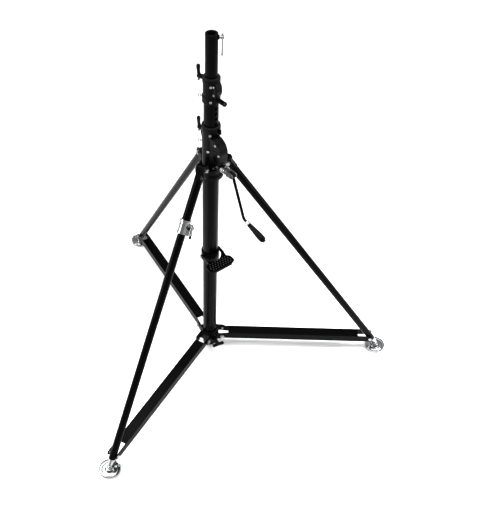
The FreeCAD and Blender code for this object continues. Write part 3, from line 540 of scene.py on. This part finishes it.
class Bench:
    """One new piece, modelled about the origin and then put in its place."""

    def __init__(self, name: str) -> None:
        """Take the primitive that was just added as the piece."""
        self.piece = bpy.context.object
        self.piece.name = name
        self.piece.data.name = name

    @classmethod
    def bar(cls, name: str, radii: tuple[float, float], length: float, sides: int = 32) -> "Bench":
        """Start from a round bar on Z, from z = 0, with a radius at each end.

        Args:
            name: the piece's name.
            radii: radius at z = 0 and at z = length.
            length: the bar's length.
            sides: number of sides.

        Returns:
            The bench with the new bar on it.
        """
        bpy.ops.object.select_all(action="DESELECT")
        bpy.ops.mesh.primitive_cone_add(
            vertices=sides, radius1=radii[0], radius2=radii[1], depth=length,
            location=(0.0, 0.0, length / 2),
        )
        bpy.ops.object.transform_apply(location=True, rotation=True, scale=True)
        return cls(name)

    @classmethod
    def block(cls, name: str, size: Colour, centre: Colour = (0.0, 0.0, 0.0)) -> "Bench":
        """Start from a block.

        Args:
            name: the piece's name.
            size: length along X, Y and Z.
            centre: middle of the block.

        Returns:
            The bench with the new block on it.
        """
        bpy.ops.object.select_all(action="DESELECT")
        bpy.ops.mesh.primitive_cube_add(size=1.0, location=centre, scale=size)
        bpy.ops.object.transform_apply(location=True, rotation=True, scale=True)
        return cls(name)

    @classmethod
    def ring(cls, name: str, bore: float, size: tuple[float, float], edge: float,
             steps: int = 48) -> "Bench":
        """Spin a rectangle with broken edges into a ring about Z.

        Args:
            name: the piece's name.
            bore: inner radius.
            size: radial width and height of the section.
            edge: width of the bevel on the section's corners.
            steps: number of steps round the ring.

        Returns:
            The bench with the new ring on it, its lower face at z = 0.
        """
        bpy.ops.object.select_all(action="DESELECT")
        middle = (bore + size[0] / 2, 0.0, size[1] / 2)
        bpy.ops.mesh.primitive_plane_add(size=1.0, location=middle, rotation=(math.pi / 2, 0.0, 0.0))
        bpy.ops.transform.resize(value=(size[0], 1.0, size[1]), center_override=middle)
        bpy.ops.object.transform_apply(location=True, rotation=True, scale=True)
        made = cls(name)
        made.edit()
        bpy.ops.mesh.select_all(action="SELECT")
        bpy.ops.mesh.bevel(offset=edge, segments=2, affect="VERTICES")
        bpy.ops.mesh.select_all(action="SELECT")
        bpy.ops.mesh.spin(steps=steps, angle=2 * math.pi, center=(0.0, 0.0, 0.0), axis=(0.0, 0.0, 1.0))
        made.clean()
        return made

    def edit(self) -> None:
        """Enter edit mode with nothing selected, in face mode."""
        bpy.context.view_layer.objects.active = self.piece
        bpy.ops.object.mode_set(mode="EDIT")
        bpy.ops.mesh.select_mode(type="FACE")
        bpy.ops.mesh.select_all(action="DESELECT")

    def pick(self, test: Callable[[Vector, Vector], bool]) -> None:
        """Select faces.

        Args:
            test: takes a face's centre and normal, and says whether it is selected.
        """
        mesh = bmesh.from_edit_mesh(self.piece.data)
        for face in mesh.faces:
            face.select_set(test(face.calc_center_median(), face.normal))
        mesh.select_flush_mode()
        bmesh.update_edit_mesh(self.piece.data)

    def pull(self, offset: Colour, scale: Colour = (1.0, 1.0, 1.0), about: Colour | None = None) -> None:
        """Extrude the selected faces.

        Args:
            offset: how far they move.
            scale: what they are then scaled by.
            about: the point that they are scaled about, or the origin.
        """
        bpy.ops.mesh.extrude_region_move(TRANSFORM_OT_translate={"value": offset})
        if scale != (1.0, 1.0, 1.0):
            bpy.ops.transform.resize(value=scale, center_override=about or (0.0, 0.0, 0.0))

    def turn_up(self, profile: list[Ring], radius: float, height: float) -> None:
        """Extrude the top face of a bar through a turned profile.

        Args:
            profile: radius and height of each further ring.
            radius: radius of the present top face.
            height: height of the present top face.
        """
        self.edit()
        self.pick(lambda centre, normal: normal.z > 0.9 and centre.z > height - 1e-6)
        for next_radius, next_height in profile:
            share = next_radius / radius
            self.pull((0.0, 0.0, next_height - height), (share, share, 1.0))
            radius, height = next_radius, next_height
        self.leave()

    def leave(self) -> None:
        """Return to object mode."""
        bpy.ops.object.mode_set(mode="OBJECT")

    def clean(self) -> None:
        """Merge doubles, turn all faces outwards and return to object mode."""
        bpy.ops.mesh.select_all(action="SELECT")
        bpy.ops.mesh.remove_doubles(threshold=1e-6)
        bpy.ops.mesh.normals_make_consistent(inside=False)
        self.leave()

    def soften(self, width: float, segments: int = 2, angle: float = 40.0) -> None:
        """Bevel the sharp edges.

        Args:
            width: width of the bevel.
            segments: number of its facets.
            angle: edges sharper than this many degrees are bevelled.
        """
        rounder = self.piece.modifiers.new("rounder", "BEVEL")
        rounder.width, rounder.segments = width, segments
        rounder.limit_method = "ANGLE"
        rounder.angle_limit = math.radians(angle)
        self.apply(rounder)

    def smooth(self, levels: int) -> None:
        """Subdivide the surface smoothly and apply it."""
        divide = self.piece.modifiers.new("divide", "SUBSURF")
        divide.levels = divide.render_levels = levels
        self.apply(divide)

    def apply(self, modifier: bpy.types.Modifier) -> None:
        """Apply a modifier of the piece."""
        bpy.context.view_layer.objects.active = self.piece
        bpy.ops.object.modifier_apply(modifier=modifier.name)

    def seat(self, spot: Spot, up: Vector = Vector((0.0, 0.0, 1.0))) -> None:
        """Move the piece to its place.

        Args:
            spot: the piece's origin goes to its place, and Z along its axis.
            up: the piece's X points this way, as nearly as it can.
        """
        z = spot.axis.normalized()
        x = (up - z * up.dot(z)).normalized()
        turn = Matrix((x, z.cross(x), z)).transposed().to_4x4()
        self.piece.data.transform(Matrix.Translation(spot.place) @ turn)

    def absorb(self, *others: "Bench") -> None:
        """Join other pieces into this one."""
        bpy.ops.object.select_all(action="DESELECT")
        for other in (*others, self):
            other.piece.select_set(True)
        bpy.context.view_layer.objects.active = self.piece
        bpy.ops.object.join()

    def hand_over(self, finishes: Finishes, slot: Slot, body: str, stands_for: str = "",
                  sharp: float = 35.0) -> bpy.types.Object:
        """Dress the piece, smooth its shading and fix it to its body.

        Args:
            finishes: where materials come from.
            slot: the record slot that the piece takes its finish from.
            body: the CAD body that the piece rides on.
            stands_for: the CAD node that the piece replaces, if any.
            sharp: edges sharper than this many degrees stay sharp.

        Returns:
            The finished object.
        """
        bpy.ops.object.select_all(action="DESELECT")
        self.piece.select_set(True)
        bpy.context.view_layer.objects.active = self.piece
        bpy.ops.object.shade_smooth_by_angle(angle=math.radians(sharp))
        self.piece.data.materials.clear()
        self.piece.data.materials.append(finishes.get(slot))
        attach(self.piece, body)
        if stands_for:
            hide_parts(stands_for)
        log.info("%s rides on %s", self.piece.name, body)
        return self.piece


# ---- locks, knobs and grip ---------------------------------------------------
@dataclass
class WingLever:
    """A lock screw with a long swept wing and a short tail."""

    joint: str
    node: str
    hub_radius: float = 8.6 * MM
    hub_length: float = 10.4 * MM
    wing_width: float = 10.0 * MM
    screw_radius: float = 4.2 * MM
    screw_reach: float = 17.5 * MM
    screw_pitch: float = 1.6 * MM
    set_back: float = 4.4 * MM
    wing_steps: tuple[tuple[float, float, float], ...] = (
        (10.0, 1.6, 0.92), (10.0, 0.6, 1.10), (9.0, 0.4, 1.16), (8.0, 0.6, 0.96), (3.2, 0.2, 0.62),
    )
    tail_steps: tuple[tuple[float, float], ...] = ((6.0, 0.86), (5.0, 0.95), (2.4, 0.6))

    def build(self, finishes: Finishes) -> None:
        """Model the lever and fix it to its body."""
        spot = spot_of(self.joint)
        hub = self.hub()
        hub.absorb(self.wing(), self.tail(), self.screw())
        hub.seat(Spot(spot.along(-self.set_back), spot.axis))
        hub.hand_over(finishes, Slot.BLACK_PLASTIC, self.node, self.node)

    def hub(self) -> Bench:
        """Turn the round hub with its raised centre."""
        r, h = self.hub_radius, self.hub_length
        chamfer = 0.8 * MM
        hub = Bench.bar(self.node + "_wing", (r * 0.93, r), chamfer)
        hub.turn_up([(r, h * 0.8), (r * 0.9, h), (r * 0.55, h), (r * 0.5, h * 0.9)], r, chamfer)
        return hub

    def wing(self) -> Bench:
        """Extrude the long wing, each step with its rise and sweep in mm and its share of width."""
        w = self.wing_width
        wing = Bench.block("wing", (9.0 * MM, w, 10.0 * MM), (2.0 * MM, 0.0, 5.2 * MM))
        wing.edit()
        wing.pick(lambda centre, normal: normal.x > 0.9)
        place = Vector((6.5 * MM, 0.0, 5.2 * MM))
        for up, out, share in self.wing_steps:
            offset = Vector((up * MM, 0.0, out * MM))
            place = place + offset
            wing.pull(tuple(offset), (1.0, share, share), tuple(place))
        wing.leave()
        wing.soften(1.2 * MM, 2)
        wing.smooth(1)
        return wing

    def tail(self) -> Bench:
        """Extrude the short tail below the hub, each step with its drop and its share of width."""
        tail = Bench.block("tail", (6.0 * MM, self.wing_width * 0.8, 6.0 * MM), (-4.0 * MM, 0.0, 4.6 * MM))
        tail.edit()
        tail.pick(lambda centre, normal: normal.x < -0.9)
        place = Vector((-7.0 * MM, 0.0, 4.6 * MM))
        for down, share in self.tail_steps:
            offset = Vector((-down * MM, 0.0, 0.7 * MM))
            place = place + offset
            tail.pull(tuple(offset), (1.0, share, share), tuple(place))
        tail.leave()
        tail.soften(1.0 * MM, 2)
        tail.smooth(1)
        return tail

    def screw(self) -> Bench:
        """Turn the screw that reaches inwards, with its thread crests."""
        return threaded_bar("lever_screw", self.screw_radius, self.screw_reach, self.screw_pitch, -1.0)


THREAD_ROOT = 0.84


def threaded_bar(name: str, radius: float, length: float, pitch: float, way: float) -> Bench:
    """Turn a bar with ringed crests, as a thread looks from outside.

    Args:
        name: the piece's name.
        radius: radius of the crests.
        length: length of the bar.
        pitch: distance from crest to crest.
        way: +1 or -1, the side of z = 0 that the bar lies on.

    Returns:
        The bench with the new bar on it.
    """
    bar = Bench.bar(name, (radius * THREAD_ROOT, radius), pitch / 2, 20)
    crests = int(length / pitch) - 1
    profile = []
    for crest in range(crests):
        base = pitch / 2 + crest * pitch
        profile += [(radius * THREAD_ROOT, base + pitch / 2), (radius, base + pitch)]
    bar.turn_up(profile, radius, pitch / 2)
    if way < 0:
        bar.piece.data.transform(Matrix.Rotation(math.pi, 4, "X"))
    return bar


@dataclass
class BarKnob:
    """The base hub's T-shaped knob on its screw."""

    joint: str = "base_knob_turn"
    node: str = "base_knob"
    bar_radius: float = 7.6 * MM
    bar_half: float = 28.5 * MM
    bar_sides: int = 28
    groove_start: float = 9.5
    groove_step: float = 3.4
    grooves: int = 4
    hub_radius: float = 9.0 * MM
    reach: float = 22.0 * MM
    screw_radius: float = 4.3 * MM
    screw_length: float = 31.0 * MM
    screw_pitch: float = 1.6 * MM
    slant_deg: float = 96.0

    def build(self, finishes: Finishes) -> None:
        """Model the knob and fix it to its body."""
        spot = spot_of(self.joint)
        knob = self.half(1.0)
        knob.absorb(self.half(-1.0), self.hub(), self.screw())
        slant = math.radians(self.slant_deg)
        side = Vector((0.0, 0.0, 1.0)).cross(spot.axis).normalized()
        up = Vector((0.0, 0.0, 1.0)) * math.cos(slant) + side * math.sin(slant)
        knob.seat(spot, up)
        knob.hand_over(finishes, Slot.BLACK_PLASTIC, self.node, self.node)

    def half(self, way: float) -> Bench:
        """Turn one half of the bar, with grip rings and a domed end.

        Args:
            way: +1 or -1, the side that the half lies on.

        Returns:
            The bench with the half on it.
        """
        r = self.bar_radius
        neck, neck_end = r * 0.92, 7.0 * MM
        name = "base_knob_bar" if way > 0 else "bar_half"
        half = Bench.bar(name, (neck, neck), neck_end, self.bar_sides)
        profile = [(r, 8.0 * MM)]
        for groove in range(self.grooves):
            start = (self.groove_start + groove * self.groove_step) * MM
            profile += [(r, start), (r * 0.88, start + 0.6 * MM), (r * 0.88, start + 1.4 * MM),
                        (r * 1.02, start + 2.0 * MM)]
        profile += [(r * 1.06, 23.5 * MM), (r * 0.96, 25.8 * MM), (r * 0.70, 27.6 * MM),
                    (r * 0.30, self.bar_half)]
        half.turn_up(profile, neck, neck_end)
        half.piece.data.transform(Matrix.Rotation(way * math.pi / 2, 4, "Y"))
        return half

    def hub(self) -> Bench:
        """Turn the hub behind the bar."""
        r = self.hub_radius
        chamfer = 1.5 * MM
        hub = Bench.bar("knob_hub", (r * 0.8, r), chamfer)
        hub.turn_up([(r, 9.0 * MM), (r * 0.86, 14.0 * MM), (r * 0.8, self.reach)], r, chamfer)
        hub.piece.data.transform(Matrix.Translation((0.0, 0.0, -self.reach)))
        return hub

    def screw(self) -> Bench:
        """Turn the screw that presses on the tube."""
        screw = threaded_bar("knob_screw", self.screw_radius, self.screw_length, self.screw_pitch, -1.0)
        screw.piece.data.transform(Matrix.Translation((0.0, 0.0, -self.reach + 1.0 * MM)))
        return screw


@dataclass
class PullKnob:
    """The fluted pull knob of the upper collar."""

    node: str = "plunger_knob"
    body: str = "plunger"
    radius: float = 9.4 * MM
    flutes: int = 12
    flute_span: tuple[float, float] = (6.0 * MM, 12.0 * MM)
    flute_depth: float = 0.07
    head_length: float = 13.5 * MM
    pin_radius: float = 4.3 * MM
    pin_length: float = 22.0 * MM

    def build(self, finishes: Finishes) -> None:
        """Model the knob and fix it to its body."""
        low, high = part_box(self.node)
        axis = spot_of("crank_turn").axis
        length = self.true_length(axis)
        back = (low + high) / 2 - axis * length / 2
        knob = self.head()
        chamfer = 0.8 * MM
        pin = Bench.bar("knob_pin", (3.6 * MM, self.pin_radius), chamfer, 24)
        pin.turn_up([(self.pin_radius, self.pin_length)], self.pin_radius, chamfer)
        knob.piece.data.transform(Matrix.Translation((0.0, 0.0, length - self.head_length)))
        knob.absorb(pin)
        knob.seat(Spot(back, axis))
        knob.hand_over(finishes, Slot.BLACK_PLASTIC, self.body, self.node)

    def true_length(self, axis: Vector) -> float:
        """Length of the CAD knob along its axis."""
        reach = [v.co.dot(axis) for v in frame["nodes"][self.node].data.vertices]
        return max(reach) - min(reach)

    def head(self) -> Bench:
        """Turn the head and press flutes into its rim."""
        r = self.radius
        chamfer, (low, high) = 1.2 * MM, self.flute_span
        head = Bench.bar("pull_knob_head", (r * 0.7, r * 0.88), chamfer, self.flutes * 4)
        head.turn_up([(r * 0.90, 4.0 * MM), (r, low), (r, high), (r * 0.9, 13.4 * MM),
                      (r * 0.5, 13.4 * MM), (r * 0.4, 12.8 * MM)], r * 0.88, chamfer)
        head.edit()
        step = 2 * math.pi / self.flutes
        head.pick(lambda centre, normal: low < centre.z < high and centre.xy.length > r * 0.8
                  and (math.atan2(centre.y, centre.x) % step) > step * 0.5)
        pressed = 1.0 - self.flute_depth
        bpy.ops.transform.resize(value=(pressed, pressed, 1.0), center_override=(0.0, 0.0, 0.0))
        head.leave()
        return head


@dataclass
class CrankGrip:
    """The tapered handle that spins on the crank's end."""

    node: str = "crank_grip"
    body: str = "grip"
    sides: int = 40
    heel: tuple[Ring, ...] = (
        (9.0, 2.6), (9.3, 6.0), (8.9, 7.0), (8.9, 9.0), (9.5, 10.0),
    )
    swell: float = 3.5
    swell_length: float = 62.0
    swell_rings: int = 9
    nose: tuple[Ring, ...] = (
        (13.0, 76.0), (12.6, 80.0), (11.6, 83.6), (9.8, 86.2), (7.6, 87.6), (5.4, 88.0),
    )

    def build(self, finishes: Finishes) -> None:
        """Turn the grip and fix it to its body."""
        spindle = spot_of("grip_spin")
        reach = [v.co.dot(spindle.axis) for v in frame["nodes"][self.node].data.vertices]
        back = spindle.along(min(reach) - spindle.place.dot(spindle.axis))
        start_radius, chamfer = 8.4 * MM, 0.6 * MM
        grip = Bench.bar("crank_grip_turned", (8.0 * MM, start_radius), chamfer, self.sides)
        grip.turn_up([(r * MM, z * MM) for r, z in self.outline()], start_radius, chamfer)
        grip.seat(Spot(back, spindle.axis))
        grip.hand_over(finishes, Slot.BLACK_PLASTIC, self.body, self.node, sharp=30.0)

    def outline(self) -> list[Ring]:
        """Radius and height in mm of each ring: the heel, the swelling middle and the nose."""
        neck_radius, neck_height = self.heel[-1]
        middle = []
        for ring in range(1, self.swell_rings + 1):
            swelling = math.sin(math.pi / 2 * ring / self.swell_rings) ** 1.4
            height = neck_height + self.swell_length * ring / self.swell_rings
            middle.append((neck_radius + self.swell * swelling, height))
        return [*self.heel, *middle, *self.nose]


# ---- small hardware ----------------------------------------------------------
@dataclass
class PedalStuds:
    """Bright worn tops of the tread studs on the foot pedal."""

    azimuth: float = -52.0
    radius: float = 2.3 * MM
    height: float = 1.3 * MM
    seat_z: float = 604.3 * MM
    first_row: float = 52.0 * MM
    row_step: float = 11.5 * MM
    rows: int = 4
    across_step: float = 13.0 * MM
    middle_reach: float = 56.0 * MM
    narrowing: float = 6.0 * MM

    def build(self, finishes: Finishes) -> None:
        """Turn one dome per stud and fix them all to the pedal."""
        domes = [self.dome(x, y) for x, y in self.places()]
        studs = domes[0]
        studs.absorb(*domes[1:])
        studs.piece.name = "pedal_stud_tops"
        studs.piece.data.transform(Matrix.Rotation(math.radians(self.azimuth), 4, "Z"))
        studs.hand_over(finishes, Slot.YOKE_STEEL, "pedal")

    def places(self) -> list[tuple[float, float]]:
        """Where the studs stand on the plate, before it is turned to its azimuth."""
        found = []
        for row in range(self.rows):
            shift = self.across_step / 2 if row % 2 else 0.0
            reach = self.middle_reach - abs(row - (self.rows - 1) / 2) * self.narrowing
            across = [col * self.across_step + shift for col in range(-4, 5)]
            found += [(self.first_row + row * self.row_step, y) for y in across if abs(y) < reach]
        return found

    def dome(self, x: float, y: float) -> Bench:
        """Turn one low dome.

        Args:
            x: distance of its row from the column's middle.
            y: place along the row.

        Returns:
            The bench with the dome on it.
        """
        r, h = self.radius, self.height
        wall = h * 0.4
        dome = Bench.bar("stud", (r, r), wall, 16)
        dome.turn_up([(r * 0.8, h * 0.75), (r * 0.4, h)], r, wall)
        dome.piece.data.transform(Matrix.Translation((x, y, self.seat_z)))
        return dome


@dataclass
class Washers:
    """Plain washers under the heads and nuts of the hinge bolts."""

    bore: float = 5.3 * MM
    width: float = 4.4 * MM
    thick: float = 0.9 * MM
    edge: float = 0.25 * MM
    hub_half: float = 19.02 * MM
    base_half: float = 30.02 * MM

    def build(self, finishes: Finishes) -> None:
        """Put washers on the leg hub's and the base hub's bolts."""
        for leg in "abc":
            self.pair(finishes, "hub_washers_" + leg, f"strut_{leg}_fold", self.hub_half, "column")
            self.pair(finishes, "base_washers_" + leg, f"brace_{leg}_fold", self.base_half, "base_hub")

    def pair(self, finishes: Finishes, name: str, joint: str, half: float, body: str) -> None:
        """Make the two washers of one bolt.

        Args:
            finishes: where materials come from.
            name: the piece's name.
            joint: the hinge whose bolt the washers sit on.
            half: distance from the hinge's middle to each washer.
            body: the CAD body that they ride on.
        """
        spot = spot_of(joint)
        pair = []
        for way in (1.0, -1.0):
            washer = Bench.ring(name, self.bore, (self.width, self.thick), self.edge, 36)
            washer.seat(Spot(spot.along(way * half), spot.axis * way))
            pair.append(washer)
        pair[0].absorb(pair[1])
        pair[0].piece.name = name
        pair[0].hand_over(finishes, Slot.ZINC_BOLTS, body)


def main() -> None:
    """Build the studio and all the pieces of the stand."""
    logging.basicConfig(level=logging.INFO, format="%(name)s: %(message)s")
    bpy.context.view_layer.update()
    bpy.ops.object.select_all(action="DESELECT")
    finishes = Finishes()
    finishes.dress_frame()
    Studio().build()
    assemblies = [
        WingLever("lower_lever_turn", "lower_lever"),
        WingLever("upper_lever_turn", "upper_lever"),
        BarKnob(),
        PullKnob(),
        CrankGrip(),
        PedalStuds(),
        Washers(),
    ]
    for assembly in assemblies:
        assembly.build(finishes)


if __name__ == "__main__":
    main()
